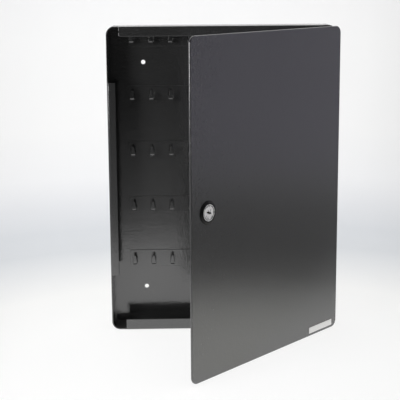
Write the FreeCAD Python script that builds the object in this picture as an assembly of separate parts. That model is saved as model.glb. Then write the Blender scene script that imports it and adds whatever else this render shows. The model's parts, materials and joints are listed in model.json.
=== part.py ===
"""Wall key cabinet: sheet-steel case with five hook rails, a plate door on lift-off pins, and a cam lock.

Millimetres. The origin is the middle of the four wall holes, on the back face that lies on the wall.
+X is to the viewer's right, +Y into the wall, +Z up. The door is stored partly open.
"""
import FreeCAD, Part
import math
import os

from FreeCAD import Vector

# ---- driving dimensions -------------------------------------------------------------------------------

# case
case_width = 220.0
case_height = 300.0
case_depth = 30.0
sheet = 1.2                    # thickness of the case's steel
corner_radius = 8.0            # outer corners of the case, seen from the front
bend_radius = 2.0              # outside of the bend between a wall and its flange
top_flange = 9.4
bottom_flange = 11.0
left_flange = 8.2
top_notch = 12.3               # bare length at each end of the top flange
bottom_notch = 14.3
left_flange_foot = 56.2        # bare length below and above the left flange
left_flange_head = 53.5
flange_edge_round = 0.45

# wall holes
hole_side_inset = 34.5         # case's side to the hole's middle
hole_foot_inset = 37.2
hole_head_inset = 35.8
hole_radius = 2.1

# hook rails
rail_count = 5
hooks_per_rail = 10
rail_left_inset = 18.2         # case's left side to the rails' ends
rail_right_inset = 21.5
rail_foot_inset = 58.3         # case's underside to the lowest rail
rail_head_inset = 3.7          # case's top to the highest rail
rail_height = 16.8
rail_end_margin = 5.1          # from an end hook's middle to the rail's end
rail_sheet = 1.0
rail_corner = 2.0
hook_width = 4.0               # at the foot of the tongue
hook_tip_width = 2.1
hook_reach = 8.0               # from the rail's face to the hook's outer face
hook_root = 4.0                # rail's lower edge to the hook's root
hook_rise = 8.8                # root to the hook's tip
hook_bend = 2.4                # outer radius of the hook's bends
window_side = 0.5              # slit beside the hook
window_top = 1.4               # round top of the window above the hook's tip

# door
door_thickness = 2.0
door_gap = 1.0                 # case front to the door's inner face
door_end_step = 0.9            # the door's top and foot lie this far inside the case's
door_side_step = 0.0
door_corner = 7.0
door_front_round = 0.8
door_back_round = 0.5
door_open_at_rest = 48.0       # degrees from closed

# hinge
pivot_inset = 4.8              # case's right side to the pin's axis
pivot_depth = 5.0              # case's front to the pin's axis
pin_radius = 2.0
pin_running_gap = 0.06
pin_fixed_gap = 0.02
pin_head_radius = 3.0
pin_head = 1.4
pin_stand = 1.2                # pin's tip above the ear
bracket_sheet = 2.0
bracket_length = 16.0
bracket_height = 15.0
bracket_eye = 4.6              # pin's axis to the bracket's free side
bracket_above_corner = 1.0     # bracket's lower end above the case's round corner
hinge_gap = 0.3                # bracket's face to the ear
ear_sheet = 2.0
ear_eye = 3.2
ear_width = 9.0
ear_from = 7.0                 # pin's axis to the near side of the ear's arm
ear_height = 12.0
ear_below_flange = 2.0         # top of the upper ear below the top flange

# blank plate
label_length = 38.5
label_height = 6.0
label_sheet = 0.4
label_corner = 0.8
label_from_hinge_edge = 8.4
label_from_door_foot = 2.8

# lock
lock_from_edge = 21.3          # door's free edge to the lock's axis
barrel_radius = 7.0
barrel_flat = 6.2              # axis to each of the barrel's two flats
barrel_hole_gap = 0.15
barrel_length = 8.6            # behind the door's inner face
head_radius = 7.65
head_length = 1.1
head_edge_round = 0.3
rosette_radius = 10.4
rosette_flange = 0.6           # thickness of the rosette's foot
rosette_step = 1.1             # the foot's reach beyond the ring
rosette_lip = 0.5              # under the lock's head
rosette_height = 1.3
rosette_gap = 0.15
rosette_round = 0.8
rosette_foot_round = 0.4
plug_radius = 5.1
plug_running_gap = 0.08
plug_head_radius = 6.2
plug_head = 0.5
plug_end_gap = 0.2
plug_face_sink = 0.1
key_slot_width = 5.6
key_slot_height = 2.4
key_slot_blade = 1.3           # thickness of the key's blade, which steps down half-way across
key_slot_depth = 9.6
washer_radius = 9.6
washer_sheet = 0.8
nut_across_flats = 18.0
nut_height = 3.0
nut_bore_gap = 0.05

# wafers
wafer_count = 4
wafer_pitch = 1.9
wafer_first = 2.0              # first wafer behind the plug's face
wafer_sheet = 0.9
wafer_length = 7.6
wafer_width = 6.0
wafer_gap = 0.12
wafer_rim = 0.25               # window in the wafer beyond the key slot
lug_length = 1.1
lug_width = 1.1
spring_radius = 0.42
spring_wall = 0.16

# quarter-turn stop, cam and its fixing
stop_sheet = 1.0
stop_gap = 0.3
stop_radius = 6.5
stop_lug = 1.2                 # how far the stop's lug reaches into the barrel's notch
stop_lug_angle = 30.0
stop_slack = 5.0               # degrees to spare at each end of the notch
lock_travel = 90.0             # degrees
tail_side = 6.0
tail_gap = 0.08
cam_sheet = 2.0
cam_width = 11.0
cam_overlap = 4.0              # tip beyond the left flange's edge
cam_to_flange = 0.5            # closed: cam's face to the flange's back
cam_to_nut = 0.5
spring_washer_radius = 3.7
spring_washer_sheet = 0.8
screw_radius = 2.0
screw_head_radius = 3.5
screw_head = 2.2
screw_length = 5.0
screw_slot = 0.8

# ---- derived places ------------------------------------------------------------------------------------

left_x = -case_width / 2
right_x = case_width / 2
hole_spacing_x = case_width - 2 * hole_side_inset
hole_spacing_z = case_height - hole_foot_inset - hole_head_inset
base_z = -hole_foot_inset - hole_spacing_z / 2
top_z = base_z + case_height
front_y = -case_depth
panel_front_y = -sheet
rail_front_y = panel_front_y - rail_sheet
hook_front_y = rail_front_y - hook_reach
rail_left_x = left_x + rail_left_inset
rail_right_x = right_x - rail_right_inset
hook_pitch = (rail_right_x - rail_left_x - 2 * rail_end_margin) / (hooks_per_rail - 1)
rail_pitch = (case_height - rail_foot_inset - rail_head_inset - rail_height) / (rail_count - 1)

door_inner_y = front_y - door_gap
door_outer_y = door_inner_y - door_thickness
door_base_z = base_z + door_end_step
door_top_z = top_z - door_end_step
door_left_x = left_x + door_side_step
door_right_x = right_x - door_side_step

pivot_x = right_x - pivot_inset
pivot_y = front_y + pivot_depth
hinge_levels = {
    "lower": base_z + corner_radius + bracket_above_corner + bracket_height,
    "upper": top_z - top_flange - ear_below_flange - ear_height - hinge_gap,
}

lock_x = door_left_x + lock_from_edge
lock_z = base_z + case_height / 2
lip_y = door_outer_y - rosette_lip
head_y = lip_y - head_length
barrel_end_y = door_inner_y + barrel_length
bore_radius = plug_radius + plug_running_gap
plug_face_y = head_y + plug_face_sink
stop_y = barrel_end_y + stop_gap
cam_back_y = stop_y + stop_sheet + cam_sheet
nut_corner = nut_across_flats / math.sqrt(3)
cam_tip_y = front_y + sheet + cam_to_flange


# ---- helpers -------------------------------------------------------------------------------------------

def box(x0, x1, y0, y1, z0, z1):
    return Part.makeBox(x1 - x0, y1 - y0, z1 - z0, Vector(x0, y0, z0))


def rod_y(radius, y0, y1, x, z):
    return Part.makeCylinder(radius, y1 - y0, Vector(x, y0, z), Vector(0, 1, 0))


def rod_z(radius, z0, z1, x, y):
    return Part.makeCylinder(radius, z1 - z0, Vector(x, y, z0), Vector(0, 0, 1))


def rounded_slab(x0, x1, z0, z1, y0, y1, radius):
    """Plate in the XZ plane with its four corners rounded."""
    slab = box(x0, x1, y0, y1, z0, z1)
    upright = [e for e in slab.Edges if abs(e.Vertexes[0].Y - e.Vertexes[1].Y) > 1e-6]
    return slab.makeFillet(radius, upright)


def prism_z(points, z0, z1):
    """Flat plate of a given outline in the XY plane."""
    ring = [Vector(x, y, z0) for x, y in points]
    face = Part.Face(Part.makePolygon(ring + ring[:1]))
    return face.extrude(Vector(0, 0, z1 - z0))


def prism_y(points, y0, y1):
    """Upright plate of a given outline in the XZ plane."""
    ring = [Vector(x, y0, z) for x, z in points]
    face = Part.Face(Part.makePolygon(ring + ring[:1]))
    return face.extrude(Vector(0, y1 - y0, 0))


def edges_at_y(shape, y):
    return [e for e in shape.Edges if abs(e.BoundBox.YMin - y) < 1e-4 and abs(e.BoundBox.YMax - y) < 1e-4]


def joined(first, others):
    return first.fuse(others).removeSplitter()


def turned_about(shape, x, y, angle):
    copy = shape.copy()
    copy.rotate(Vector(x, y, 0), Vector(0, 0, 1), angle)
    return copy


def save(name, shape):
    shape.exportStep("parts/" + name + ".step")


# ---- cabinet -------------------------------------------------------------------------------------------

def wall_ring():
    """Four walls with rounded corners. Their bare front edges stand back by the flanges' bend."""
    edge_y = front_y + bend_radius
    outer = rounded_slab(left_x, right_x, base_z, top_z, edge_y, 0, corner_radius)
    inner = rounded_slab(left_x + sheet, right_x - sheet, base_z + sheet, top_z - sheet,
                         edge_y - 1, 1, corner_radius - sheet)
    return outer.cut(inner)


def flange(length, width):
    """Flange along +X from the origin, turned down from a wall whose outer face is z = 0."""
    bend_y = front_y + bend_radius
    bend_z = -bend_radius
    inner_radius = bend_radius - sheet
    outer_bend = Part.makeCylinder(bend_radius, length, Vector(0, bend_y, bend_z), Vector(1, 0, 0))
    inner_bend = Part.makeCylinder(inner_radius, length, Vector(0, bend_y, bend_z), Vector(1, 0, 0))
    quarter = box(0, length, front_y, bend_y, bend_z, 0)
    corner = outer_bend.cut(inner_bend).common(quarter)
    leaf = box(0, length, front_y, front_y + sheet, -width, bend_z)
    edge_round = min(flange_edge_round, 0.45 * sheet)
    free_edges = [e for e in leaf.Edges if abs(e.BoundBox.ZMax + width) < 1e-4 and e.BoundBox.XLength > sheet]
    return joined(leaf.makeFillet(edge_round, free_edges), [corner])


def case_wrap():
    top = flange(case_width - 2 * top_notch, top_flange)
    top.translate(Vector(left_x + top_notch, 0, top_z))
    bottom = flange(case_width - 2 * bottom_notch, bottom_flange)
    bottom.rotate(Vector(0, 0, 0), Vector(0, 1, 0), 180)
    bottom.translate(Vector(right_x - bottom_notch, 0, base_z))
    left = flange(case_height - left_flange_foot - left_flange_head, left_flange)
    left.rotate(Vector(0, 0, 0), Vector(0, 1, 0), -90)
    left.translate(Vector(left_x, 0, base_z + left_flange_foot))
    return joined(wall_ring(), [top, bottom, left])


def back_panel():
    weld_gap = 0.1
    inset = sheet + weld_gap
    panel = rounded_slab(left_x + inset, right_x - inset, base_z + inset, top_z - inset,
                         panel_front_y, 0, corner_radius - inset)
    holes = [rod_y(hole_radius, panel_front_y - 1, 1, sx * hole_spacing_x / 2, sz * hole_spacing_z / 2)
             for sx in (-1, 1) for sz in (-1, 1)]
    return panel.cut(holes)


def hook(x, rail_z):
    """Tongue lanced from the rail: out from its root, then up, narrowing to a round tip."""
    inner_radius = hook_bend - rail_sheet
    x0 = x - hook_width / 2
    root_z = rail_z + hook_root
    floor_z = root_z - rail_sheet / 2
    tip_z = root_z + hook_rise
    bend_y = hook_front_y + hook_bend
    bend_z = floor_z + hook_bend
    outer_bend = Part.makeCylinder(hook_bend, hook_width, Vector(x0, bend_y, bend_z), Vector(1, 0, 0))
    inner_bend = Part.makeCylinder(inner_radius, hook_width, Vector(x0, bend_y, bend_z), Vector(1, 0, 0))
    quarter = box(x0, x0 + hook_width, hook_front_y, bend_y, floor_z, bend_z)
    bend = outer_bend.cut(inner_bend).common(quarter)
    floor = box(x0, x0 + hook_width, bend_y, panel_front_y, floor_z, floor_z + rail_sheet)
    tip_radius = hook_tip_width / 2
    shoulder_z = tip_z - tip_radius
    tongue = [(x0, bend_z), (x0 + hook_width, bend_z),
              (x + tip_radius, shoulder_z), (x - tip_radius, shoulder_z)]
    upright = prism_y(tongue, hook_front_y, hook_front_y + rail_sheet)
    tip = rod_y(tip_radius, hook_front_y, hook_front_y + rail_sheet, x, shoulder_z)
    return [floor, bend, upright, tip]


def hook_window(x, rail_z):
    """Opening that the tongue leaves in the rail, round at its top."""
    reach = hook_width / 2 + window_side
    root_z = rail_z + hook_root
    arch_z = root_z + hook_rise + window_top - reach
    opening = box(x - reach, x + reach, rail_front_y - 1, panel_front_y + 1, root_z, arch_z)
    return [opening, rod_y(reach, rail_front_y - 1, panel_front_y + 1, x, arch_z)]


def hook_rail(index):
    first_x = rail_left_x + rail_end_margin
    rail_z = base_z + rail_foot_inset + index * rail_pitch
    strip = rounded_slab(rail_left_x, rail_right_x, rail_z, rail_z + rail_height,
                         rail_front_y, panel_front_y, rail_corner)
    windows = []
    hooks = []
    for i in range(hooks_per_rail):
        x = first_x + i * hook_pitch
        windows.extend(hook_window(x, rail_z))
        hooks.extend(hook(x, rail_z))
    return joined(strip.cut(windows), hooks)


def hinge_bracket(face_z):
    """Angle welded to the right wall. Its level leaf holds the pin."""
    wall_x = right_x - sheet
    front = front_y + bend_radius
    back = front + bracket_length
    leaf = box(pivot_x - bracket_eye, wall_x, front, back, face_z - bracket_sheet, face_z)
    side = box(wall_x - bracket_sheet, wall_x, pivot_y + pin_head_radius + hinge_gap, back,
               face_z - bracket_height, face_z)
    pin_hole = rod_z(pin_radius + pin_fixed_gap, face_z - bracket_sheet - 1, face_z + 1, pivot_x, pivot_y)
    return joined(leaf, [side]).cut(pin_hole)


def hinge_pin(face_z):
    under = face_z - bracket_sheet
    tip_z = face_z + hinge_gap + ear_sheet + pin_stand
    head = rod_z(pin_head_radius, under - pin_head, under, pivot_x, pivot_y)
    shank = rod_z(pin_radius, under, tip_z, pivot_x, pivot_y)
    tip_edges = [e for e in shank.Edges if abs(e.BoundBox.ZMin - tip_z) < 1e-4]
    return joined(head, [shank.makeChamfer(pin_radius / 4, tip_edges)])


# ---- door (built closed, then turned to its stored pose) ------------------------------------------------

def double_d(radius, flat, y0, y1):
    """Round bar along Y at the lock's axis with two upright flats."""
    bar = rod_y(radius, y0, y1, lock_x, lock_z)
    keep = box(lock_x - flat, lock_x + flat, y0, y1, lock_z - 2 * radius, lock_z + 2 * radius)
    return bar.common(keep)


def door_panel():
    panel = rounded_slab(door_left_x, door_right_x, door_base_z, door_top_z,
                         door_outer_y, door_inner_y, door_corner)
    panel = panel.makeFillet(door_front_round, edges_at_y(panel, door_outer_y))
    panel = panel.makeFillet(door_back_round, edges_at_y(panel, door_inner_y))
    return panel.cut(double_d(barrel_radius + barrel_hole_gap, barrel_flat + barrel_hole_gap,
                              door_outer_y - 1, door_inner_y + 1))


def hinge_ear(face_z):
    """Cranked ear: its arm leaves the pin sideways, so it clears the right wall's front edge when open."""
    low = face_z + hinge_gap
    high = low + ear_sheet
    near_x = pivot_x - ear_from
    far_x = near_x - ear_width
    neck_x = pivot_x - ear_eye - ear_sheet / 3
    neck_y = pivot_y - 0.75 * ear_eye
    outline = [(far_x, door_inner_y), (near_x, door_inner_y), (neck_x, neck_y), (pivot_x, pivot_y - ear_eye),
               (pivot_x, pivot_y + ear_eye), (near_x, pivot_y + ear_eye), (far_x, pivot_y)]
    arm = prism_z(outline, low, high)
    eye = rod_z(ear_eye, low, high, pivot_x, pivot_y)
    plate = box(far_x, near_x, door_inner_y, door_inner_y + ear_sheet, low, low + ear_height)
    pin_hole = rod_z(pin_radius + pin_running_gap, low - 1, high + 1, pivot_x, pivot_y)
    return joined(arm, [eye, plate]).cut(pin_hole)


def label_plate():
    x1 = door_right_x - label_from_hinge_edge
    z0 = door_base_z + label_from_door_foot
    return rounded_slab(x1 - label_length, x1, z0, z0 + label_height,
                        door_outer_y - label_sheet, door_outer_y, label_corner)


def lock_rosette():
    """Moulded ring on a wider foot. The lock's head sits down in it, on its lip."""
    front = door_outer_y - rosette_height
    foot_y = door_outer_y - rosette_flange
    foot = rod_y(rosette_radius, foot_y, door_outer_y, lock_x, lock_z)
    foot = foot.makeFillet(rosette_foot_round, edges_at_y(foot, foot_y))
    ring = rod_y(rosette_radius - rosette_step, front, door_outer_y, lock_x, lock_z)
    ring = ring.makeFillet(rosette_round, edges_at_y(ring, front))
    head_seat = rod_y(head_radius + rosette_gap, front - 1, lip_y, lock_x, lock_z)
    barrel_way = rod_y(barrel_radius + rosette_gap, lip_y - 1, door_outer_y + 1, lock_x, lock_z)
    return joined(foot, [ring]).cut([head_seat, barrel_way])


def wedge(y0, y1, before, after):
    """Slice about the lock's axis, round from straight down. The cam turns towards `after` to lock."""
    reach = 4 * stop_radius
    corners = [(lock_x, lock_z)]
    for angle in (-before, (after - before) / 2, after):
        turn = math.radians(angle)
        corners.append((lock_x - reach * math.sin(turn), lock_z - reach * math.cos(turn)))
    return prism_y(corners, y0, y1)


def lock_housing():
    head = rod_y(head_radius, head_y, lip_y, lock_x, lock_z)
    head = head.makeFillet(head_edge_round, edges_at_y(head, head_y))
    barrel = double_d(barrel_radius, barrel_flat, lip_y, barrel_end_y)
    bore = rod_y(bore_radius, head_y - 1, barrel_end_y + 1, lock_x, lock_z)
    seat_y = plug_face_y + plug_head + plug_end_gap
    seat = rod_y(plug_head_radius + plug_running_gap, head_y - 1, seat_y, lock_x, lock_z)
    side = stop_lug_angle / 2 + stop_slack
    notch = wedge(barrel_end_y - stop_lug, barrel_end_y + 1, side, lock_travel + side)
    return joined(head, [barrel]).cut([bore, seat, notch])


def lock_washer():
    ring = rod_y(washer_radius, door_inner_y, door_inner_y + washer_sheet, lock_x, lock_z)
    return ring.cut(double_d(barrel_radius + barrel_hole_gap, barrel_flat + barrel_hole_gap,
                             door_inner_y - 1, door_inner_y + washer_sheet + 1))


def lock_nut():
    y0 = door_inner_y + washer_sheet
    corners = []
    for i in range(6):
        turn = math.radians(60 * i)
        corners.append((lock_x + nut_corner * math.cos(turn), lock_z + nut_corner * math.sin(turn)))
    hexagon = prism_y(corners, y0, y0 + nut_height)
    return hexagon.cut(rod_y(barrel_radius + nut_bore_gap, y0 - 1, y0 + nut_height + 1, lock_x, lock_z))


# ---- turning part of the lock ---------------------------------------------------------------------------

def wafer_places():
    return [plug_face_y + wafer_first + i * wafer_pitch for i in range(wafer_count)]


def key_profile(y0, y1):
    """Keyway: a flat slot that steps down half-way across, so that only one blade goes in one way up."""
    side = key_slot_width / 2
    top = key_slot_height / 2
    step = top - key_slot_blade
    lap = key_slot_blade / 2
    half = [(-side, top), (lap, top), (lap, -step), (side, -step)]
    outline = half + [(-x, -z) for x, z in half]
    return prism_y([(lock_x + x, lock_z + z) for x, z in outline], y0, y1)


def lock_plug():
    head = rod_y(plug_head_radius, plug_face_y, plug_face_y + plug_head, lock_x, lock_z)
    body = rod_y(plug_radius, plug_face_y, stop_y, lock_x, lock_z)
    side = tail_side / 2
    tail = box(lock_x - side, lock_x + side, stop_y, cam_back_y, lock_z - side, lock_z + side)
    plug = joined(head, [body, tail])
    key_way = key_profile(plug_face_y - 1, plug_face_y + key_slot_depth)
    thread = rod_y(screw_radius, cam_back_y - screw_length, cam_back_y + 1, lock_x, lock_z)
    cuts = [key_way, thread]
    half_width = wafer_width / 2 + wafer_gap
    for y in wafer_places():
        y0 = y - wafer_gap
        y1 = y + wafer_sheet + wafer_gap
        cuts.append(box(lock_x - plug_head_radius, lock_x + plug_head_radius, y0, y1,
                        lock_z - half_width, lock_z + half_width))
        spring_room = wafer_length / 2 - lug_length
        cuts.append(box(lock_x - spring_room, lock_x + spring_room, y0, y1,
                        lock_z + half_width - wafer_gap, lock_z + wafer_width / 2 + lug_width + wafer_gap))
    return plug.cut(cuts)


def wafers():
    """Thin plates with a window for the key and a lug that a spring pushes."""
    solids = []
    for y in wafer_places():
        plate = box(lock_x - wafer_length / 2, lock_x + wafer_length / 2, y, y + wafer_sheet,
                    lock_z - wafer_width / 2, lock_z + wafer_width / 2)
        half = key_slot_width / 2 + wafer_rim
        window = box(lock_x - half, lock_x + half, y - 1, y + wafer_sheet + 1,
                     lock_z - key_slot_height / 2 - wafer_rim, lock_z + key_slot_height / 2 + wafer_rim)
        lug_x = lock_x + wafer_length / 2 - 2 * lug_length - wafer_gap
        lug = box(lug_x, lug_x + lug_length, y, y + wafer_sheet,
                  lock_z + wafer_width / 2, lock_z + wafer_width / 2 + lug_width)
        solids.append(joined(plate, [lug]).cut(window))
    return Part.makeCompound(solids)


def wafer_springs():
    """Fine coil springs, each as the sleeve that its turns fill."""
    solids = []
    x0 = lock_x - wafer_length / 2 + lug_length + wafer_gap
    x1 = lock_x + wafer_length / 2 - 2 * lug_length - 2 * wafer_gap
    z = lock_z + wafer_width / 2 + lug_width / 2 + wafer_gap
    for y in wafer_places():
        centre = Vector(x0, y + wafer_sheet / 2, z)
        sleeve = Part.makeCylinder(spring_radius, x1 - x0, centre, Vector(1, 0, 0))
        sleeve = sleeve.cut(Part.makeCylinder(spring_radius - spring_wall, x1 - x0, centre, Vector(1, 0, 0)))
        solids.append(sleeve)
    return Part.makeCompound(solids)


def tail_hole(y0, y1):
    side = tail_side / 2 + tail_gap
    return box(lock_x - side, lock_x + side, y0, y1, lock_z - side, lock_z + side)


def stop_washer():
    disc = rod_y(stop_radius, stop_y, stop_y + stop_sheet, lock_x, lock_z)
    ring = rod_y(stop_radius, stop_y - stop_lug, stop_y, lock_x, lock_z)
    ring = ring.cut(rod_y(bore_radius, stop_y - stop_lug - 1, stop_y + 1, lock_x, lock_z))
    lug = ring.common(wedge(stop_y - stop_lug, stop_y, stop_lug_angle / 2, stop_lug_angle / 2))
    return joined(disc, [lug]).cut(tail_hole(stop_y - 1, stop_y + stop_sheet + 1))


def lock_cam():
    """Cranked plate hanging straight down: heel on the plug's tail, web past the nut, tip forward."""
    half = cam_width / 2
    web_near = nut_corner + cam_to_nut
    web_far = web_near + cam_sheet
    tip_reach = lock_x - (left_x + left_flange) + cam_overlap
    hub_y = cam_back_y - cam_sheet
    heel = rod_y(half, hub_y, cam_back_y, lock_x, lock_z)
    hub = box(lock_x - half, lock_x + half, hub_y, cam_back_y, lock_z - web_far, lock_z)
    web = box(lock_x - half, lock_x + half, cam_tip_y, cam_back_y, lock_z - web_far, lock_z - web_near)
    tip_z = lock_z - tip_reach
    tip = box(lock_x - half, lock_x + half, cam_tip_y, cam_tip_y + cam_sheet, tip_z, lock_z - web_near)
    corners = [e for e in tip.Edges if e.BoundBox.YLength > cam_sheet / 2 and e.BoundBox.ZMin < tip_z + 0.1]
    tip = tip.makeFillet(cam_sheet, corners)
    return joined(heel, [hub, web, tip]).cut(tail_hole(hub_y - 1, cam_back_y + 1))


def cam_spring_washer():
    y1 = cam_back_y + spring_washer_sheet
    ring = rod_y(spring_washer_radius, cam_back_y, y1, lock_x, lock_z)
    return ring.cut(rod_y(screw_radius + 2 * pin_running_gap, cam_back_y - 1, y1 + 1, lock_x, lock_z))


def cam_screw():
    under = cam_back_y + spring_washer_sheet
    shank = rod_y(screw_radius - pin_fixed_gap, under - screw_length, under, lock_x, lock_z)
    head = rod_y(screw_head_radius, under, under + screw_head, lock_x, lock_z)
    head = head.makeFillet(screw_head / 3, edges_at_y(head, under + screw_head))
    slot = box(lock_x - 2 * screw_radius, lock_x + 2 * screw_radius, under + screw_head / 2,
               under + screw_head + 1, lock_z - screw_slot / 2, lock_z + screw_slot / 2)
    return joined(head, [shank]).cut(slot)


# ---- write the pieces ------------------------------------------------------------------------------------

os.makedirs("parts", exist_ok=True)

save("case_wrap", case_wrap())
save("back_panel", back_panel())
for index in range(rail_count):
    save("hook_rail_%d" % (index + 1), hook_rail(index))
for level, face_z in hinge_levels.items():
    save("hinge_bracket_" + level, hinge_bracket(face_z))
    save("hinge_pin_" + level, hinge_pin(face_z))

door_pieces = {
    "door_panel": door_panel(),
    "label_plate": label_plate(),
    "lock_rosette": lock_rosette(),
    "lock_housing": lock_housing(),
    "lock_washer": lock_washer(),
    "lock_nut": lock_nut(),
    "lock_plug": lock_plug(),
    "wafers": wafers(),
    "wafer_springs": wafer_springs(),
    "stop_washer": stop_washer(),
    "lock_cam": lock_cam(),
    "cam_spring_washer": cam_spring_washer(),
    "cam_screw": cam_screw(),
}
for level, face_z in hinge_levels.items():
    door_pieces["hinge_ear_" + level] = hinge_ear(face_z)
for name, shape in door_pieces.items():
    save(name, turned_about(shape, pivot_x, pivot_y, door_open_at_rest))
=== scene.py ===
import json
import math

import bpy
from mathutils import Matrix, Vector


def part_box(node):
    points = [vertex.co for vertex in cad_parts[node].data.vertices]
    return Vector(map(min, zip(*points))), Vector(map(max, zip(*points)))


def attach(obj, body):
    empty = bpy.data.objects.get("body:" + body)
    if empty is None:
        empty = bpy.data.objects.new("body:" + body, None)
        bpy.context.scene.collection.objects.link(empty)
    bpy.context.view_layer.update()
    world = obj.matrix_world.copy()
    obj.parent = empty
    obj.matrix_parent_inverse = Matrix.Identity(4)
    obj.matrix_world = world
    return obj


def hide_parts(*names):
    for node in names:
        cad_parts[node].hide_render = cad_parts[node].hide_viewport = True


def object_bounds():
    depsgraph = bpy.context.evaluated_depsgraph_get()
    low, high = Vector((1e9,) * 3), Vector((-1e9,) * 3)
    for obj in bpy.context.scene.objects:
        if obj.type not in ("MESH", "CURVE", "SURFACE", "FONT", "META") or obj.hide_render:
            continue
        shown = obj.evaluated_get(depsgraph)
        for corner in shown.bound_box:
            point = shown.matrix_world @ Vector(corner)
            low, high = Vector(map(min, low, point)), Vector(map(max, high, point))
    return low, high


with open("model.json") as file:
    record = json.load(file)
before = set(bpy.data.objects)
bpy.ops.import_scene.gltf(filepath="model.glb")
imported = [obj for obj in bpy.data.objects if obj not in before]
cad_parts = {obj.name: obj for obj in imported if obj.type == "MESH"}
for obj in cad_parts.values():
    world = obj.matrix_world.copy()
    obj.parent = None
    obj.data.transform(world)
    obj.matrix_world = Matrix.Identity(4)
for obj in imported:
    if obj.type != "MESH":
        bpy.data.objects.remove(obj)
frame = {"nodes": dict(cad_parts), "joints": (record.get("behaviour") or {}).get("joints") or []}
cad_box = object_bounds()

# Key cabinet of black powder-coated sheet steel. Its door stands part open, in a white studio. Metres.

# ---- Case and back panel -------------------------------------------------------------------------------
# The case is one strip of 1.2 mm steel, bent round into four walls with flanges at the front. The back
# panel is welded into it. Both are sprayed with black semi-gloss powder, which bakes to a faint orange
# peel, rounds each cut edge as it melts, and bridges the seam round the panel.

mm = 0.001
case_edge_round = 0.35 * mm
panel_rim = 12 * mm
seam_bridge = 0.3 * mm
merge_within = 0.001 * mm
nodes = frame["nodes"]
scene = bpy.context.scene
bpy.ops.object.select_all(action="DESELECT")


def put(tree, socket, value):
    """Links a socket to another one, or gives it a plain value."""
    if isinstance(value, bpy.types.NodeSocket):
        tree.links.new(value, socket)
    else:
        socket.default_value = value


def shader_node(tree, kind, **inputs):
    """A new node with its inputs linked or set. An underscore stands for a space in a socket's name."""
    made = tree.nodes.new("ShaderNode" + kind)
    for name, value in inputs.items():
        put(tree, made.inputs[name.replace("_", " ")], value)
    return made


def worked(tree, operation, *values):
    """The output of a Math node."""
    made = tree.nodes.new("ShaderNodeMath")
    made.operation = operation
    for socket, value in zip(made.inputs, values):
        put(tree, socket, value)
    return made.outputs[0]


def mapped(tree, value, from_min, from_max, to_min, to_max):
    """A value moved from one range to another, and kept inside it."""
    made = shader_node(tree, "MapRange", Value=value, From_Min=from_min, From_Max=from_max,
                       To_Min=to_min, To_Max=to_max)
    return made.outputs["Result"]


def mixed(tree, factor, first, second):
    """A blend of two colours: the first where the factor is 0, the second where it is 1."""
    made = tree.nodes.new("ShaderNodeMix")
    made.data_type = "RGBA"
    put(tree, made.inputs["Factor"], factor)
    put(tree, made.inputs["A"], first)
    put(tree, made.inputs["B"], second)
    return made.outputs["Result"]


def grey(level, warmth=0.0):
    """A grey of one level, a little red and yellow where it is warm."""
    return (level * (1 + warmth), level, level * (1 - warmth), 1.0)


def new_group(name, inputs, outputs):
    """An empty node group with float inputs. Gives the group, its input node and its output node."""
    group = bpy.data.node_groups.new(name, "ShaderNodeTree")
    for label, value in inputs.items():
        socket = group.interface.new_socket(name=label, in_out="INPUT", socket_type="NodeSocketFloat")
        socket.default_value = value
    for label, kind in outputs.items():
        group.interface.new_socket(name=label, in_out="OUTPUT", socket_type="NodeSocket" + kind)
    return group, group.nodes.new("NodeGroupInput"), group.nodes.new("NodeGroupOutput")


def placed_group(tree, group, **inputs):
    """A group placed in one material, with that material's own values."""
    made = tree.nodes.new("ShaderNodeGroup")
    made.node_tree = group
    for name, value in inputs.items():
        put(tree, made.inputs[name], value)
    return made


def new_material(name):
    """A material, its node tree and its shader."""
    material = bpy.data.materials.new(name)
    material.use_nodes = True
    return material, material.node_tree, material.node_tree.nodes["Principled BSDF"]


# Orange peel: fine grain on broad waves, with slow patches where the coat is a little thinner.
orange_peel, given, result = new_group(
    "orange_peel", {"Grain": 700.0, "Waviness": 0.6, "Depth": 0.00001},
    {"Normal": "Vector", "Patches": "Float"})
place = orange_peel.nodes.new("ShaderNodeTexCoord").outputs["Object"]
fine = shader_node(orange_peel, "TexNoise", Vector=place, Scale=given.outputs["Grain"], Detail=2.0)
broad = shader_node(orange_peel, "TexNoise", Vector=place, Scale=150.0, Detail=1.0)
patches = shader_node(orange_peel, "TexNoise", Vector=place, Scale=14.0, Detail=3.0)
height = worked(orange_peel, "MULTIPLY_ADD", broad.outputs["Fac"], given.outputs["Waviness"],
                fine.outputs["Fac"])
bump = shader_node(orange_peel, "Bump", Strength=1.0, Distance=given.outputs["Depth"], Height=height)
orange_peel.links.new(bump.outputs["Normal"], result.inputs["Normal"])
orange_peel.links.new(patches.outputs["Fac"], result.inputs["Patches"])

# Rubbed edges: where a rounded normal leaves the true one, hands and cloths have polished the finish.
rubbed_edges, given, result = new_group("rubbed_edges", {"Width": 0.0004}, {"Mask": "Float"})
rounded = shader_node(rubbed_edges, "Bevel", Radius=given.outputs["Width"])
rounded.samples = 4
facing = rubbed_edges.nodes.new("ShaderNodeNewGeometry")
agree = rubbed_edges.nodes.new("ShaderNodeVectorMath")
agree.operation = "DOT_PRODUCT"
rubbed_edges.links.new(rounded.outputs["Normal"], agree.inputs[0])
rubbed_edges.links.new(facing.outputs["Normal"], agree.inputs[1])
place = rubbed_edges.nodes.new("ShaderNodeTexCoord").outputs["Object"]
breaks = shader_node(rubbed_edges, "TexNoise", Vector=place, Scale=90.0, Detail=4.0)
bare = mapped(rubbed_edges, agree.outputs["Value"], 0.995, 0.90, 0.0, 1.0)
bare = worked(rubbed_edges, "MULTIPLY", bare, breaks.outputs["Fac"])
rubbed_edges.links.new(bare, result.inputs["Mask"])

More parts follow.
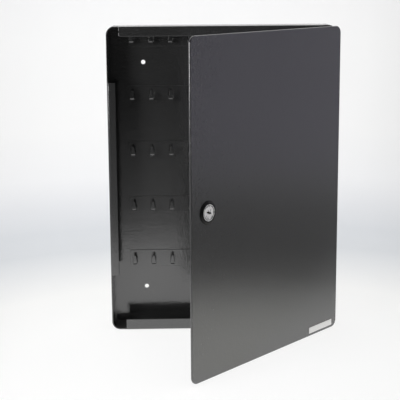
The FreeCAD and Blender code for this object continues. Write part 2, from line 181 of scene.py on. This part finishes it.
# Settled dust: lies on faces that look up, in loose patches.
settled_dust, given, result = new_group("settled_dust", {"Amount": 0.3}, {"Mask": "Float"})
facing = settled_dust.nodes.new("ShaderNodeNewGeometry")
split = settled_dust.nodes.new("ShaderNodeSeparateXYZ")
settled_dust.links.new(facing.outputs["Normal"], split.inputs["Vector"])
upward = mapped(settled_dust, split.outputs["Z"], 0.6, 0.98, 0.0, 1.0)
place = settled_dust.nodes.new("ShaderNodeTexCoord").outputs["Object"]
drift = shader_node(settled_dust, "TexNoise", Vector=place, Scale=60.0, Detail=6.0)
lies = worked(settled_dust, "MULTIPLY", upward, drift.outputs["Fac"])
lies = worked(settled_dust, "MULTIPLY", lies, given.outputs["Amount"])
settled_dust.links.new(lies, result.inputs["Mask"])

powder, tree, shader = new_material("black_powder_coat")
shader.inputs["IOR"].default_value = 2.05
shader.inputs["Coat Weight"].default_value = 1.0
shader.inputs["Coat IOR"].default_value = 1.42
shader.inputs["Coat Roughness"].default_value = 0.54
coat = placed_group(tree, orange_peel, Grain=520.0, Waviness=0.8, Depth=0.00009)
edges = placed_group(tree, rubbed_edges, Width=0.0005)
dust = placed_group(tree, settled_dust, Amount=0.12)
tone = mixed(tree, coat.outputs["Patches"], grey(0.005, -0.02), grey(0.007, -0.02))
tone = mixed(tree, worked(tree, "MULTIPLY", edges.outputs["Mask"], 0.35), tone, grey(0.045))
tone = mixed(tree, dust.outputs["Mask"], tone, grey(0.30, 0.04))
tree.links.new(tone, shader.inputs["Base Color"])
rough = mapped(tree, coat.outputs["Patches"], 0.3, 0.7, 0.11, 0.15)
rough = worked(tree, "MULTIPLY_ADD", dust.outputs["Mask"], 0.6, rough)
tree.links.new(rough, shader.inputs["Roughness"])
tree.links.new(coat.outputs["Normal"], shader.inputs["Normal"])


def only(piece):
    """Selects one piece and makes it the active one."""
    bpy.ops.object.select_all(action="DESELECT")
    piece.select_set(True)
    bpy.context.view_layer.objects.active = piece


def edited(piece):
    """Opens one piece in edit mode, with all of it selected."""
    only(piece)
    bpy.ops.object.mode_set(mode="EDIT")
    bpy.ops.mesh.select_mode(type="EDGE")
    bpy.ops.mesh.select_all(action="SELECT")


def round_edges(piece, width, wanted=None, segments=2):
    """Bevels the sharp edges, or only those whose middle is wanted."""
    edited(piece)
    bpy.ops.mesh.select_all(action="DESELECT")
    bpy.ops.mesh.edges_select_sharp(sharpness=math.radians(42))
    bpy.ops.object.mode_set(mode="OBJECT")
    mesh = piece.data
    points = mesh.vertices
    if wanted:
        chosen = set()
        for edge in mesh.edges:
            a, b = edge.vertices
            edge.select = edge.select and wanted((points[a].co + points[b].co) / 2)
            if edge.select:
                chosen.update((a, b))
        for polygon in mesh.polygons:
            polygon.select = False
        for point in points:
            point.select = point.index in chosen
    bpy.ops.object.mode_set(mode="EDIT")
    bpy.ops.mesh.bevel(offset=width, segments=segments, affect="EDGES", clamp_overlap=False)
    bpy.ops.object.mode_set(mode="OBJECT")


def smoothed(piece, material):
    """Smooth shading that keeps flat faces flat, and the piece's only material."""
    only(piece)
    bpy.ops.object.shade_smooth_by_angle(angle=math.radians(35))
    weigh = piece.modifiers.new("flat_faces", "WEIGHTED_NORMAL")
    weigh.keep_sharp = True
    bpy.ops.object.modifier_apply(modifier=weigh.name)
    piece.data.materials.clear()
    piece.data.materials.append(material)


def merged_copy(name):
    """A node's own shape as one closed mesh, with its flat faces whole."""
    piece = bpy.data.objects.new(name + "_finished", nodes[name].data.copy())
    scene.collection.objects.link(piece)
    only(piece)
    if piece.data.has_custom_normals:
        bpy.ops.mesh.customdata_custom_splitnormals_clear()
    edited(piece)
    bpy.ops.mesh.remove_doubles(threshold=merge_within)
    bpy.ops.mesh.dissolve_limited(angle_limit=math.radians(0.5))
    bpy.ops.object.mode_set(mode="OBJECT")
    return piece


def finished(name, edge, body, material):
    """Stands for a node whose cut edges were left sharp, with those edges rounded."""
    piece = merged_copy(name)
    round_edges(piece, edge)
    smoothed(piece, material)
    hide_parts(name)
    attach(piece, body)
    return piece


finished("case_wrap", case_edge_round, "cabinet", powder)

# The panel's rim reaches into the walls by as much as the powder fills.
panel = merged_copy("back_panel")
low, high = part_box("back_panel")
for point in panel.data.vertices:
    for axis in (0, 2):
        from_middle = point.co[axis] - (low[axis] + high[axis]) / 2
        if abs(from_middle) > (high[axis] - low[axis]) / 2 - panel_rim:
            point.co[axis] += math.copysign(seam_bridge, from_middle)
smoothed(panel, powder)
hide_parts("back_panel")
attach(panel, "cabinet")

# ---- Hook rails ----------------------------------------------------------------------------------------
# Each rail is a strip of 1 mm steel with ten tongues lanced out of it and bent up into hooks. It is spot
# welded to the back panel and coated with it. The strip's long front edges are rounder than the hooks.

rails = 5
strip_sheet = 1.0 * mm
strip_edge_round = 0.45 * mm
hook_edge_round = 0.14 * mm
strip_margin = 1.0 * mm
touching = 0.01 * mm
strip_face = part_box("hook_rail_1")[1][1] - strip_sheet
for number in range(1, rails + 1):
    name = "hook_rail_%d" % number
    low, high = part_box(name)
    rail = merged_copy(name)

    def on_outline(point):
        """The front edges along the strip's top and foot."""
        at_end = abs(point.z - low[2]) < touching or abs(point.z - high[2]) < touching
        return at_end and abs(point.y - strip_face) < touching

    def inside_strip(point):
        """The edges of the hooks and their windows."""
        return low[2] + strip_margin < point.z < high[2] - strip_margin

    round_edges(rail, strip_edge_round, on_outline)
    round_edges(rail, hook_edge_round, inside_strip)
    smoothed(rail, powder)
    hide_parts(name)
    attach(rail, "cabinet")

# ---- Hinges --------------------------------------------------------------------------------------------
# Two small angles are welded inside the right wall and two ears inside the door, all coated. A zinc
# plated pin stands in each angle, and the ear turns on it.

angle_edge_round = 0.25 * mm
pin_edge_round = 0.18 * mm
for level in ("lower", "upper"):
    finished("hinge_bracket_" + level, angle_edge_round, "cabinet", powder)
    finished("hinge_ear_" + level, angle_edge_round, "door", powder)

zinc, tree, shader = new_material("zinc_steel")
shader.inputs["Metallic"].default_value = 1.0
place = tree.nodes.new("ShaderNodeTexCoord").outputs["Object"]
bloom = shader_node(tree, "TexNoise", Vector=place, Scale=420.0, Detail=5.0)
edges = placed_group(tree, rubbed_edges, Width=0.0003)
tone = mixed(tree, bloom.outputs["Fac"], grey(0.50, 0.01), grey(0.68, 0.02))
tone = mixed(tree, edges.outputs["Mask"], tone, grey(0.80))
tree.links.new(tone, shader.inputs["Base Color"])
rough = mapped(tree, bloom.outputs["Fac"], 0.3, 0.7, 0.24, 0.42)
tree.links.new(rough, shader.inputs["Roughness"])
bump = shader_node(tree, "Bump", Strength=0.4, Distance=0.00002, Height=bloom.outputs["Fac"])
tree.links.new(bump.outputs["Normal"], shader.inputs["Normal"])
for level in ("lower", "upper"):
    finished("hinge_pin_" + level, pin_edge_round, "cabinet", zinc)

# ---- Door ----------------------------------------------------------------------------------------------
# A flat 2 mm plate with rounded corners and a softly rounded front edge, coated like the case.

nodes["door_panel"].data.materials.clear()
nodes["door_panel"].data.materials.append(powder)

# ---- Blank plate ---------------------------------------------------------------------------------------
# A thin bare plate of brushed aluminium, glued near the door's lower corner. Its face carries nothing.

plate_edge_round = 0.10 * mm
door_turn = math.radians(48)
satin, tree, shader = new_material("light_plate")
shader.inputs["Metallic"].default_value = 1.0
place = tree.nodes.new("ShaderNodeTexCoord").outputs["Object"]
along = shader_node(tree, "Mapping", Vector=place, Rotation=(0.0, 0.0, door_turn),
                    Scale=(60.0, 60.0, 4000.0))
streaks = shader_node(tree, "TexNoise", Vector=along.outputs["Vector"], Scale=1.0, Detail=3.0)
tree.links.new(mixed(tree, streaks.outputs["Fac"], grey(0.74, 0.01), grey(0.86, 0.01)),
               shader.inputs["Base Color"])
tree.links.new(mapped(tree, streaks.outputs["Fac"], 0.3, 0.7, 0.30, 0.44), shader.inputs["Roughness"])
finished("label_plate", plate_edge_round, "door", satin)

# ---- Lock rosette --------------------------------------------------------------------------------------
# A ring of glossy black plastic between the lock's head and the door, moulded with a wider foot and a lip
# that laps over the head's edge. Its section is given as radius and height over the door, in millimetres.

turn = frame["joints"][1]
outward = Vector(turn["axis"])
upward = Vector((0.0, 0.0, 1.0))
side = upward.cross(outward)
lock_turned = Matrix((side, upward, outward)).transposed().to_4x4()
lock_frame = Matrix.Translation(Vector(turn["pos_m"])) @ lock_turned


def turned(name, profile, segments=96):
    """A ring turned about its own Z axis: a circle drawn out and scaled step by step round its section,
    which is a list of radii and heights in millimetres."""
    bpy.ops.object.select_all(action="DESELECT")
    radius, level = profile[0]
    bpy.ops.mesh.primitive_circle_add(vertices=segments, radius=radius * mm, location=(0, 0, level * mm))
    piece = bpy.context.object
    piece.name = name
    bpy.ops.object.transform_apply(location=True, rotation=True, scale=True)
    edited(piece)
    for new_radius, new_level in profile[1:]:
        rise = (0, 0, (new_level - level) * mm)
        bpy.ops.mesh.extrude_edges_move(TRANSFORM_OT_translate={"value": rise})
        ratio = new_radius / radius
        bpy.ops.transform.resize(value=(ratio, ratio, 1.0), center_override=(0.0, 0.0, 0.0))
        radius, level = new_radius, new_level
    bpy.ops.mesh.select_all(action="SELECT")
    bpy.ops.mesh.remove_doubles(threshold=merge_within)
    bpy.ops.mesh.normals_make_consistent(inside=False)
    bpy.ops.object.mode_set(mode="OBJECT")
    return piece


def set_at_lock(piece):
    """Moves a piece made round the origin to the lock's axis, with the place in its mesh."""
    only(piece)
    piece.matrix_world = lock_frame
    bpy.ops.object.transform_apply(location=True, rotation=True, scale=True)


gloss, tree, shader = new_material("black_plastic")
shader.inputs["IOR"].default_value = 1.3
coat = placed_group(tree, orange_peel, Grain=1500.0, Waviness=0.5, Depth=0.000002)
edges = placed_group(tree, rubbed_edges, Width=0.0003)
tone = mixed(tree, coat.outputs["Patches"], grey(0.003), grey(0.005))
tree.links.new(mixed(tree, edges.outputs["Mask"], tone, grey(0.02)), shader.inputs["Base Color"])
tree.links.new(mapped(tree, coat.outputs["Patches"], 0.3, 0.7, 0.10, 0.16), shader.inputs["Roughness"])
tree.links.new(coat.outputs["Normal"], shader.inputs["Normal"])

rosette_section = [
    (7.15, 0.0), (10.34, 0.0), (10.4, 0.06), (10.4, 0.3), (10.34, 0.45), (10.2, 0.56), (10.0, 0.6),
    (9.66, 0.62), (9.5, 0.68), (9.4, 0.82), (9.28, 1.05), (9.1, 1.32), (8.84, 1.56), (8.5, 1.72),
    (8.1, 1.78), (7.6, 1.78), (7.42, 1.75), (7.3, 1.68), (7.27, 1.62), (7.8, 1.62), (7.8, 0.5),
    (7.15, 0.5), (7.15, 0.0)]
rosette = turned("lock_rosette_moulded", rosette_section)
set_at_lock(rosette)
smoothed(rosette, gloss)
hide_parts("lock_rosette")
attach(rosette, "door")

# ---- Lock body -----------------------------------------------------------------------------------------
# Die-cast housing with a turned, chromed head, a raised rim, and a threaded barrel with two flats that
# goes through the door. The plug turns in it, and its face shows the stepped keyway.

head_edge_round = 0.10 * mm
washer_edge_round = 0.10 * mm
nut_edge_round = 0.35 * mm
plug_seam = 6.22 * mm
seam_core = 0.12 * mm
seam_fade = 0.42 * mm
face_level = 1.44 * mm
keyway_reach = 5.5 * mm


def off_axis(tree, vector):
    """The distance of a point from the Z axis."""
    across = tree.nodes.new("ShaderNodeVectorMath")
    across.operation = "MULTIPLY"
    tree.links.new(vector, across.inputs[0])
    across.inputs[1].default_value = (1.0, 1.0, 0.0)
    length = tree.nodes.new("ShaderNodeVectorMath")
    length.operation = "LENGTH"
    tree.links.new(across.outputs["Vector"], length.inputs[0])
    return length.outputs["Value"]


# Satin chrome with fine turning rings. Painted shade darkens the seam round the plug and the inside of the
# keyway.
chrome, tree, shader = new_material("lock_chrome")
shader.inputs["Metallic"].default_value = 0.55
place = tree.nodes.new("ShaderNodeTexCoord").outputs["Object"]
centred = shader_node(tree, "Mapping", Vector=place, Location=Vector(turn["pos_m"]),
                      Rotation=lock_frame.to_euler())
centred.vector_type = "TEXTURE"
radius = off_axis(tree, centred.outputs["Vector"])
rings = tree.nodes.new("ShaderNodeTexNoise")
rings.noise_dimensions = "1D"
put(tree, rings.inputs["W"], radius)
rings.inputs["Scale"].default_value = 5200.0
rings.inputs["Detail"].default_value = 2.0
smudge = shader_node(tree, "TexNoise", Vector=place, Scale=260.0, Detail=4.0)
edges = placed_group(tree, rubbed_edges, Width=0.00025)
tone = mixed(tree, smudge.outputs["Fac"], grey(0.72, 0.012), grey(0.86, 0.01))
tone = mixed(tree, edges.outputs["Mask"], tone, grey(0.90))
# Painted shade: a dark band along the seam round the plug, and the keyway's inside below the face.
off_seam = worked(tree, "ABSOLUTE", worked(tree, "SUBTRACT", radius, plug_seam))
painted_shade = mapped(tree, off_seam, seam_core, seam_fade, 1.0, 0.0)
depth = shader_node(tree, "SeparateXYZ", Vector=centred.outputs["Vector"]).outputs["Z"]
sunk = worked(tree, "MULTIPLY", worked(tree, "LESS_THAN", depth, face_level),
              worked(tree, "LESS_THAN", radius, keyway_reach))
painted_shade = worked(tree, "MAXIMUM", painted_shade, sunk)
tree.links.new(mixed(tree, painted_shade, tone, grey(0.03)), shader.inputs["Base Color"])
rough = mapped(tree, smudge.outputs["Fac"], 0.3, 0.7, 0.22, 0.36)
tree.links.new(rough, shader.inputs["Roughness"])
bump = shader_node(tree, "Bump", Strength=0.5, Distance=0.00001, Height=rings.outputs["Fac"])
tree.links.new(bump.outputs["Normal"], shader.inputs["Normal"])

finished("lock_housing", head_edge_round, "door", chrome)

rim_section = [(6.55, 1.55), (7.17, 1.55), (7.17, 1.64), (7.12, 1.73), (7.02, 1.78), (6.82, 1.78),
               (6.68, 1.74), (6.55, 1.63), (6.55, 1.55)]
rim = turned("lock_head_rim", rim_section)
set_at_lock(rim)
smoothed(rim, chrome)
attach(rim, "door")

thread_root = 6.86
thread_pitch = 0.8
thread_from = -9.2
thread_turns = 8
thread_side = 0.36
thread_steps = 48
barrel_flat = 6.24
upright = math.radians(90)
bpy.ops.object.select_all(action="DESELECT")
bpy.ops.mesh.primitive_circle_add(vertices=3, radius=thread_side * mm, rotation=(upright, upright, 0),
                                  location=(thread_root * mm, 0, thread_from * mm))
thread = bpy.context.object
thread.name = "lock_barrel_thread"
bpy.ops.object.transform_apply(location=True, rotation=True, scale=True)
wind = thread.modifiers.new("wind", "SCREW")
wind.axis = "Z"
wind.angle = math.radians(360)
wind.screw_offset = thread_pitch * mm
wind.iterations = thread_turns
wind.steps = thread_steps
wind.render_steps = thread_steps
bpy.ops.object.modifier_apply(modifier=wind.name)
edited(thread)
bpy.ops.mesh.fill_holes(sides=0)
for way in (-1, 1):
    bpy.ops.mesh.select_all(action="SELECT")
    bpy.ops.mesh.bisect(plane_co=(way * barrel_flat * mm, 0, 0), plane_no=(way, 0, 0),
                        use_fill=True, clear_outer=True)
bpy.ops.mesh.select_all(action="SELECT")
bpy.ops.mesh.normals_make_consistent(inside=False)
bpy.ops.object.mode_set(mode="OBJECT")
set_at_lock(thread)
smoothed(thread, zinc)
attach(thread, "door")

finished("lock_washer", washer_edge_round, "door", zinc)
finished("lock_nut", nut_edge_round, "door", zinc)

# ---- Plug and wafers -----------------------------------------------------------------------------------
# The chromed plug holds four stamped brass wafers on fine springs. Its rim and keyway are chamfered.

plug_face = 1.5 * mm
face_band = 0.1 * mm
rim_from = 6.0 * mm
keyway_within = 4.0 * mm
plug_rim_round = 0.40 * mm
keyway_round = 0.12 * mm
to_lock = lock_frame.inverted()
plug = merged_copy("lock_plug")


def on_rim(point):
    """The outer edge of the plug's face."""
    local = to_lock @ point
    return local.z > plug_face - face_band and local.xy.length > rim_from


def on_keyway(point):
    """The keyway's edges in the plug's face."""
    local = to_lock @ point
    return local.z > plug_face - face_band and local.xy.length < keyway_within


round_edges(plug, plug_rim_round, on_rim, segments=3)
round_edges(plug, keyway_round, on_keyway)
smoothed(plug, chrome)
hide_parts("lock_plug")
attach(plug, "lock_core")

brass, tree, shader = new_material("brass")
shader.inputs["Metallic"].default_value = 1.0
place = tree.nodes.new("ShaderNodeTexCoord").outputs["Object"]
bloom = shader_node(tree, "TexNoise", Vector=place, Scale=500.0, Detail=4.0)
tree.links.new(mixed(tree, bloom.outputs["Fac"], (0.22, 0.15, 0.06, 1.0), (0.36, 0.26, 0.12, 1.0)),
               shader.inputs["Base Color"])
tree.links.new(mapped(tree, bloom.outputs["Fac"], 0.3, 0.7, 0.22, 0.38), shader.inputs["Roughness"])
for name, material in (("wafers", brass), ("wafer_springs", zinc)):
    nodes[name].data.materials.clear()
    nodes[name].data.materials.append(material)

# ---- Stop, cam and screw -------------------------------------------------------------------------------
# Behind the barrel sit the stamped stop, which limits the turn, and the cranked cam that goes behind the
# case's left flange. A split spring washer and a slotted screw hold them on the plug's square tail.

stop_edge_round = 0.12 * mm
cam_edge_round = 0.25 * mm
screw_edge_round = 0.12 * mm
finished("stop_washer", stop_edge_round, "lock_core", zinc)
finished("lock_cam", cam_edge_round, "lock_core", zinc)
finished("cam_screw", screw_edge_round, "lock_core", zinc)

washer_inner = 2.2
washer_outer = 3.7
washer_sheet = 0.8
washer_back = -13.9
washer_gap = math.radians(14)
washer_steps = 72
washer_corner = 0.08 * mm
washer_middle = ((washer_inner + washer_outer) / 2 * mm, 0, (washer_back - washer_sheet / 2) * mm)
bpy.ops.object.select_all(action="DESELECT")
bpy.ops.mesh.primitive_plane_add(size=1.0, rotation=(upright, 0, 0), location=washer_middle)
washer = bpy.context.object
washer.name = "cam_spring_washer_split"
washer.scale = ((washer_outer - washer_inner) * mm, washer_sheet * mm, 1.0)
bpy.ops.object.transform_apply(location=True, rotation=True, scale=True)
edited(washer)
bpy.ops.mesh.delete(type="ONLY_FACE")
bpy.ops.mesh.select_all(action="SELECT")
bpy.ops.mesh.spin(steps=washer_steps, angle=math.radians(360) - washer_gap, center=(0, 0, 0), axis=(0, 0, 1))
bpy.ops.mesh.select_all(action="SELECT")
bpy.ops.mesh.fill_holes(sides=0)
bpy.ops.mesh.select_all(action="SELECT")
bpy.ops.mesh.normals_make_consistent(inside=False)
bpy.ops.object.mode_set(mode="OBJECT")
set_at_lock(washer)
round_edges(washer, washer_corner)
smoothed(washer, zinc)
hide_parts("cam_spring_washer")
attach(washer, "lock_core")

# ---- Studio --------------------------------------------------------------------------------------------
# A white floor that curves up into a white wall behind and beside the cabinet, open in front, with a
# soft grey band of painted shade where it curves. Darker tones painted on the paper beside and before the
# cabinet show only in the gloss, as painted reflections of a dim room. From outside, the paper is clear.

under_case = 0.4 * mm
stage_centre = Vector((0.0, -0.15, cad_box[0][2] - under_case))
floor_radius = 500.0
bend_radius = 120.0
bend_steps = 12
wall_top = 1100.0
sweep_profile = [(150.0, 0.0), (250.0, 0.0), (350.0, 0.0), (450.0, 0.0), (floor_radius, 0.0)]
for step in range(1, bend_steps + 1):
    angle = math.radians(90.0 * step / bend_steps)
    sweep_profile.append((floor_radius + bend_radius * math.sin(angle), bend_radius * (1 - math.cos(angle))))
sweep_profile.append((floor_radius + bend_radius, wall_top))
sweep = turned("studio_sweep", sweep_profile, segments=144)
edited(sweep)
bpy.ops.mesh.bisect(plane_co=(0, -0.25, 0), plane_no=(0, -1, 0), clear_outer=True)
bpy.ops.mesh.select_all(action="SELECT")
bpy.ops.mesh.flip_normals()
bpy.ops.object.mode_set(mode="OBJECT")
sweep.location = stage_centre
only(sweep)
bpy.ops.object.shade_smooth()

bpy.ops.object.select_all(action="DESELECT")
bpy.ops.mesh.primitive_plane_add(size=1.0, location=stage_centre + Vector((0, 0, -0.3 * mm)))
studio_floor = bpy.context.object
studio_floor.name = "studio_floor"
edited(studio_floor)
bpy.ops.transform.resize(value=(1.6, 6.0, 1.0))
bpy.ops.transform.translate(value=(0.0, -2.6, 0.0))
bpy.ops.object.mode_set(mode="OBJECT")

paper, tree, shader = new_material("studio_paper")
shader.inputs["Base Color"].default_value = grey(0.85)
shader.inputs["Roughness"].default_value = 0.9
place = tree.nodes.new("ShaderNodeTexCoord").outputs["Object"]
split = tree.nodes.new("ShaderNodeSeparateXYZ")
tree.links.new(place, split.inputs["Vector"])
travel = worked(tree, "ADD", off_axis(tree, place), split.outputs["Z"])


def tone_along(tree, value, full, tones):
    """A ramp of paper tones, each at its distance in metres, up to the full length."""
    ramp = tree.nodes.new("ShaderNodeValToRGB")
    put(tree, ramp.inputs["Fac"], worked(tree, "DIVIDE", value, full))
    elements = ramp.color_ramp.elements
    elements.remove(elements[1])
    elements[0].position = tones[0][0] / full
    elements[0].color = (*tones[0][1], 1.0)
    for distance, color in tones[1:]:
        elements.new(distance / full).color = (*color, 1.0)
    return ramp.outputs["Color"]


def plain(levels):
    """The same ramp list for greys, from plain levels."""
    return [(distance, (level, level, level)) for distance, level in levels]


# Tones by the way from the middle, out along the floor and up the wall: behind the cabinet, with a band of
# painted shade where it curves, and beside it, painted dark for the gloss alone.
behind = tone_along(tree, travel, 1.0, [
    (0.0, (1.0, 1.0, 1.0)), (0.20, (0.99, 0.99, 0.985)), (0.30, (0.95, 0.95, 0.94)),
    (0.38, (0.83, 0.84, 0.85)), (0.48, (0.69, 0.715, 0.745)), (0.56, (0.70, 0.725, 0.76)),
    (0.62, (0.80, 0.815, 0.845)), (0.68, (0.94, 0.945, 0.96)), (0.76, (1.0, 1.0, 1.0)),
    (0.88, (1.0, 1.0, 1.0)), (0.98, (0.95, 0.95, 0.96))])
beside = tone_along(tree, travel, 1.0, [
    (0.0, (1.0, 1.0, 0.96)), (0.10, (0.97, 0.97, 0.93)), (0.17, (0.84, 0.84, 0.80)),
    (0.24, (0.54, 0.54, 0.52)), (0.34, (0.105, 0.105, 0.10)), (0.47, (0.012, 0.012, 0.013)),
    (0.60, (0.03, 0.03, 0.033)), (0.66, (0.14, 0.14, 0.155)), (0.70, (0.195, 0.19, 0.24)),
    (0.76, (0.215, 0.205, 0.27)), (0.95, (0.20, 0.19, 0.26))])

# Tones of the floor before the cabinet, darker further forward as painted shade for the gloss alone, and the
# fall of light from left to right.
ahead_of_back = worked(tree, "SUBTRACT", 0.15, split.outputs["Y"])
ahead = tone_along(tree, ahead_of_back, 5.0, plain([
    (0.0, 1.0), (0.20, 0.98), (0.27, 0.86), (0.33, 0.62), (0.44, 0.20), (0.60, 0.02), (0.78, 0.0)]))
falloff = tone_along(tree, worked(tree, "ADD", split.outputs["X"], 0.5), 1.0, plain([
    (0.0, 0.90), (0.20, 0.92), (0.30, 0.985), (0.38, 1.0), (0.56, 0.98), (0.66, 0.94), (0.72, 0.90),
    (0.78, 0.82), (1.0, 0.80)]))

# Where each tone holds. The camera sees the plain tones alone, and gloss sees the painted dark tones too.
bearing = worked(tree, "ABSOLUTE", worked(tree, "ARCTAN2", split.outputs["X"], split.outputs["Y"]))
to_side = mapped(tree, bearing, math.radians(45), math.radians(66), 0.0, 1.0)
on_right = mapped(tree, split.outputs["X"], -0.02, 0.02, 0.0, 1.0)
far_out = mapped(tree, travel, 0.30, 0.46, 0.0, 1.0)
to_side = worked(tree, "MULTIPLY", to_side, worked(tree, "MAXIMUM", on_right, far_out))
to_front = mapped(tree, split.outputs["Y"], -0.06, -0.20, 0.0, 1.0)
backdrop = tree.nodes.new("ShaderNodeMix")
backdrop.data_type = "RGBA"
backdrop.blend_type = "MULTIPLY"
backdrop.inputs["Factor"].default_value = 1.0
put(tree, backdrop.inputs["A"], behind)
put(tree, backdrop.inputs["B"], falloff)
color = mixed(tree, to_side, backdrop.outputs["Result"], beside)
off_middle = worked(tree, "ABSOLUTE", split.outputs["X"])
# Far out to the sides, the floor ahead is painted dark as well, for the gloss alone.
ahead = mixed(tree, mapped(tree, off_middle, 0.33, 0.45, 0.0, 1.0), ahead, grey(0.03))
color = mixed(tree, to_front, color, ahead)
in_view = mixed(tree, to_front, backdrop.outputs["Result"], grey(0.97))
path = tree.nodes.new("ShaderNodeLightPath")
color = mixed(tree, path.outputs["Is Camera Ray"], color, in_view)

# The paper gives off most of its tone to the view and to gloss, and the rest of it is lit, so shadow shows.
glow = shader_node(tree, "Emission", Color=color, Strength=1.0)
seen = worked(tree, "MAXIMUM", path.outputs["Is Camera Ray"], path.outputs["Is Glossy Ray"])
seen = worked(tree, "MAXIMUM", seen, path.outputs["Is Transmission Ray"])
mix = tree.nodes.new("ShaderNodeMixShader")
tree.links.new(worked(tree, "MULTIPLY", seen, 0.85), mix.inputs["Fac"])
tree.links.new(shader.outputs["BSDF"], mix.inputs[1])
tree.links.new(glow.outputs["Emission"], mix.inputs[2])
from_outside = tree.nodes.new("ShaderNodeMixShader")
tree.links.new(tree.nodes.new("ShaderNodeNewGeometry").outputs["Backfacing"], from_outside.inputs["Fac"])
tree.links.new(mix.outputs["Shader"], from_outside.inputs[1])
tree.links.new(tree.nodes.new("ShaderNodeBsdfTransparent").outputs["BSDF"], from_outside.inputs[2])
tree.links.new(from_outside.outputs["Shader"], tree.nodes["Material Output"].inputs["Surface"])
sweep.data.materials.append(paper)
studio_floor.data.materials.append(paper)

# ---- Lamps ---------------------------------------------------------------------------------------------
# A wide softbox overhead, one at each side in front, and a dim room. Only the left one shows in the gloss.

aim = Vector((0.0, -0.1, 0.0))
for name, spot, size, power in (
        ("softbox_top", (0.0, -0.35, 1.10), 0.9, 11.0),
        ("softbox_left", (-1.15, -0.95, 0.32), 0.8, 22.0),
        ("softbox_right", (0.75, -0.25, 0.85), 0.35, 4.0)):
    lamp = bpy.data.lights.new(name, "AREA")
    lamp.shape = "SQUARE"
    lamp.size = size
    lamp.energy = power
    lamp_object = bpy.data.objects.new(name, lamp)
    lamp_object.location = spot
    lamp_object.rotation_euler = (aim - Vector(spot)).to_track_quat("-Z", "Y").to_euler()
    lamp_object.visible_glossy = name == "softbox_left"
    scene.collection.objects.link(lamp_object)

world = bpy.data.worlds.new("dim_room")
scene.world = world
world.use_nodes = True
tree = world.node_tree
path = tree.nodes.new("ShaderNodeLightPath")
air = mixed(tree, path.outputs["Is Camera Ray"], grey(0.06), grey(0.9))
put(tree, tree.nodes["Background"].inputs["Color"], air)

# ---- Camera --------------------------------------------------------------------------------------------
# It stands a little left of the middle and looks slightly down, with a long lens and a trace of roll.

case_corner = Vector(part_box("case_wrap")[0])
stand = case_corner + Vector((0.062591, -1.064203, 0.348106))
yaw = math.radians(1.395)
pitch = math.radians(11.495)
roll = math.radians(-0.381)
forward = Vector((math.sin(yaw) * math.cos(pitch), math.cos(yaw) * math.cos(pitch), -math.sin(pitch)))
level_right = Vector((math.cos(yaw), -math.sin(yaw), 0.0))
level_up = level_right.cross(forward)
right = level_right * math.cos(roll) + level_up * math.sin(roll)
up = level_up * math.cos(roll) - level_right * math.sin(roll)
camera_data = bpy.data.cameras.new("camera")
camera_data.sensor_width = 36.0
camera_data.lens = 99.96
camera = bpy.data.objects.new("camera", camera_data)
scene.collection.objects.link(camera)
camera.matrix_world = Matrix.Translation(stand) @ Matrix((right, up, -forward)).transposed().to_4x4()
scene.camera = camera
scene.view_settings.view_transform = "Standard"
